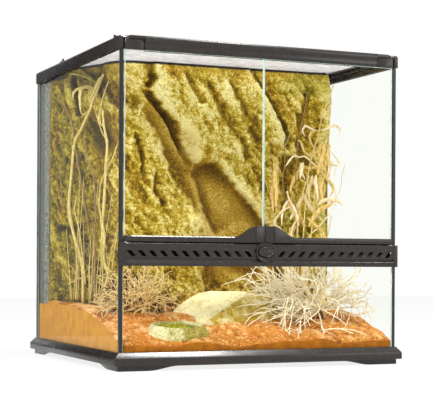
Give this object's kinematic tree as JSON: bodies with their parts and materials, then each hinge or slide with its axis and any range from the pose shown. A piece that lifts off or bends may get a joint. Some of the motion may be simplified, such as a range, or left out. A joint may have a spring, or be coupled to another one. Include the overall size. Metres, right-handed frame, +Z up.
{
  "type": "terrarium",
  "caption": "Front-opening glass terrarium with hinged doors, vent bar with a turn lock, lift-out mesh lid, rock background, sand and dry plants.",
  "frame": {"origin": "centre of the glass box's footprint, on the table", "axes": "+Z up; +Y towards the back pane, so the doors face -Y; +X to the right seen from the front"},
  "size_m": [0.467, 0.4714, 0.4855],
  "materials": {
    "black_abs": "moulded, satin",
    "float_glass": "clear, polished edges",
    "black_silicone": "satin",
    "stainless_mesh": "woven wire",
    "hinge_steel": "drawn pin",
    "painted_foam_rock": "carved and painted, matt",
    "desert_sand": "loose grains",
    "moulded_resin_rock": "moulded, rough",
    "dry_straw": "dry stalks",
    "dry_twig": "dry bark"
  },
  "bodies": {
    "tank": {"back_glass": "float_glass", "base_glass": "float_glass", "bottom_frame": "black_abs", "front_glass": "float_glass", "left_glass": "float_glass", "right_glass": "float_glass", "left_front_trim": "black_silicone", "right_front_trim": "black_silicone", "left_rear_seal": "black_silicone", "right_rear_seal": "black_silicone", "top_frame": "black_abs", "vent_bar": "black_abs", "lock_housing": "black_abs", "rock_background": "painted_foam_rock", "sand": "desert_sand", "water_dish": "moulded_resin_rock", "rock_hide": "moulded_resin_rock", "left_bush": "dry_twig", "right_bush": "dry_straw", "reeds": "dry_straw", "grass_clump": "dry_straw"},
    "left_door": {"left_door_glass": "float_glass", "left_door_rail": "black_abs", "left_door_hinge_block": "black_abs", "left_lower_hinge_pin": "hinge_steel", "left_upper_hinge_pin": "hinge_steel"},
    "right_door": {"right_door_glass": "float_glass", "right_door_rail": "black_abs", "right_door_hinge_block": "black_abs", "right_lower_hinge_pin": "hinge_steel", "right_upper_hinge_pin": "hinge_steel"},
    "lock": {"lock_knob": "black_abs", "lock_blade": "black_abs"},
    "lid": {"lid_frame": "black_abs", "lid_mesh": "stainless_mesh"},
    "left_front_latch": {"left_front_latch": "black_abs"},
    "left_rear_latch": {"left_rear_latch": "black_abs"},
    "right_front_latch": {"right_front_latch": "black_abs"},
    "right_rear_latch": {"right_rear_latch": "black_abs"},
    "left_inlet_gate": {"left_inlet_gate": "black_abs"},
    "right_inlet_gate": {"right_inlet_gate": "black_abs"}
  },
  "joints": [
    {"name": "left_door_hinge", "type": "hinge", "parent": "tank", "child": "left_door", "pos_m": [-0.2165, -0.225, 0.1862], "axis": [0, 0, -1], "range_deg": [0, 120]},
    {"name": "right_door_hinge", "type": "hinge", "parent": "tank", "child": "right_door", "pos_m": [0.2165, -0.225, 0.1862], "axis": [0, 0, 1], "range_deg": [0, 120]},
    {"name": "lock_turn", "type": "hinge", "parent": "tank", "child": "lock", "pos_m": [0, -0.232, 0.1724], "axis": [0, 1, 0], "range_deg": [0, 90]},
    {"name": "lid_lift", "type": "slide", "parent": "tank", "child": "lid", "axis": [0, 0, 1], "range_m": [0, 0.06]},
    {"name": "left_front_latch_turn", "type": "hinge", "parent": "tank", "child": "left_front_latch", "pos_m": [-0.222, -0.203, 0.4803], "axis": [0, 0, -1], "range_deg": [0, 90]},
    {"name": "left_rear_latch_turn", "type": "hinge", "parent": "tank", "child": "left_rear_latch", "pos_m": [-0.222, 0.091, 0.4803], "axis": [0, 0, 1], "range_deg": [0, 90]},
    {"name": "right_front_latch_turn", "type": "hinge", "parent": "tank", "child": "right_front_latch", "pos_m": [0.222, -0.203, 0.4803], "axis": [0, 0, 1], "range_deg": [0, 90]},
    {"name": "right_rear_latch_turn", "type": "hinge", "parent": "tank", "child": "right_rear_latch", "pos_m": [0.222, 0.091, 0.4803], "axis": [0, 0, -1], "range_deg": [0, 90]},
    {"name": "left_inlet_slide", "type": "slide", "parent": "tank", "child": "left_inlet_gate", "axis": [-1, 0, 0], "range_m": [0, 0.032]},
    {"name": "right_inlet_slide", "type": "slide", "parent": "tank", "child": "right_inlet_gate", "axis": [1, 0, 0], "range_m": [0, 0.032]}
  ]
}
